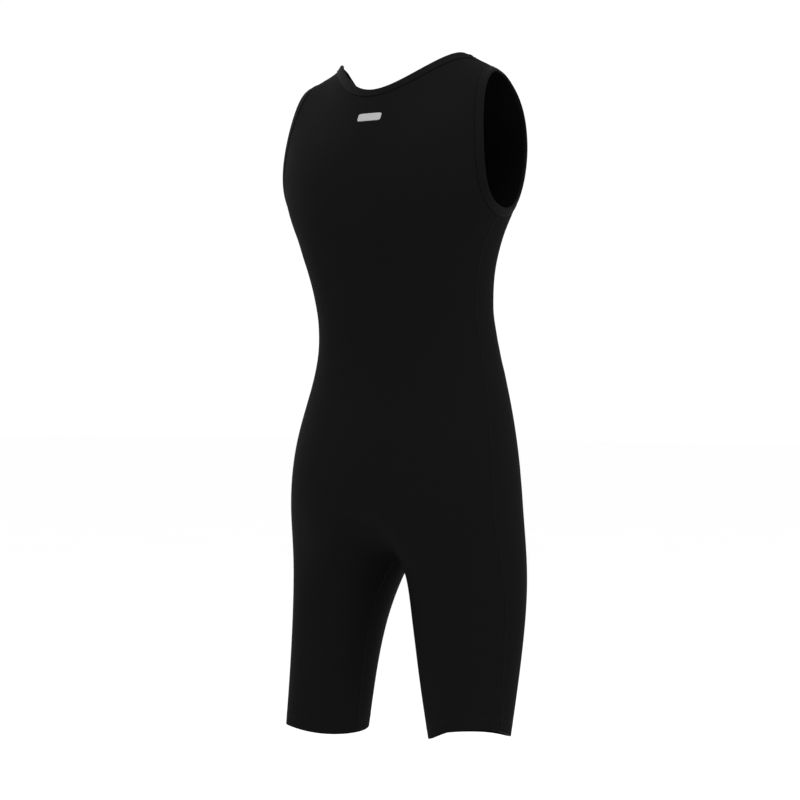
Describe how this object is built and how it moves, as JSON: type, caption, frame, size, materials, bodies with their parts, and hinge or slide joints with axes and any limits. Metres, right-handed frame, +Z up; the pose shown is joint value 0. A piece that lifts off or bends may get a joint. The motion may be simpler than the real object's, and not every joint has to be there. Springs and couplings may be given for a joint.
{
  "type": "sleeveless shorty wetsuit",
  "caption": "Black sleeveless shorty wetsuit, hollow and filled out as worn, with open neck, armholes and thigh-length legs.",
  "frame": {"origin": "midway between the shoulder straps, at the height where they rest on the wearer's shoulders", "axes": "+Z up towards the neck, -Y the way the wearer faces, +X the wearer's left"},
  "size_m": [0.373, 0.2554, 0.9716],
  "materials": {
    "suit_cloth": "matte black knit face on stretchy foam rubber",
    "band_cloth": "smooth black stretch band"
  },
  "bodies": {
    "root": {"back_panel": "suit_cloth", "front_panel": "suit_cloth", "neck_band": "band_cloth", "armhole_band_left": "band_cloth", "armhole_band_right": "band_cloth"}
  },
  "joints": []
}
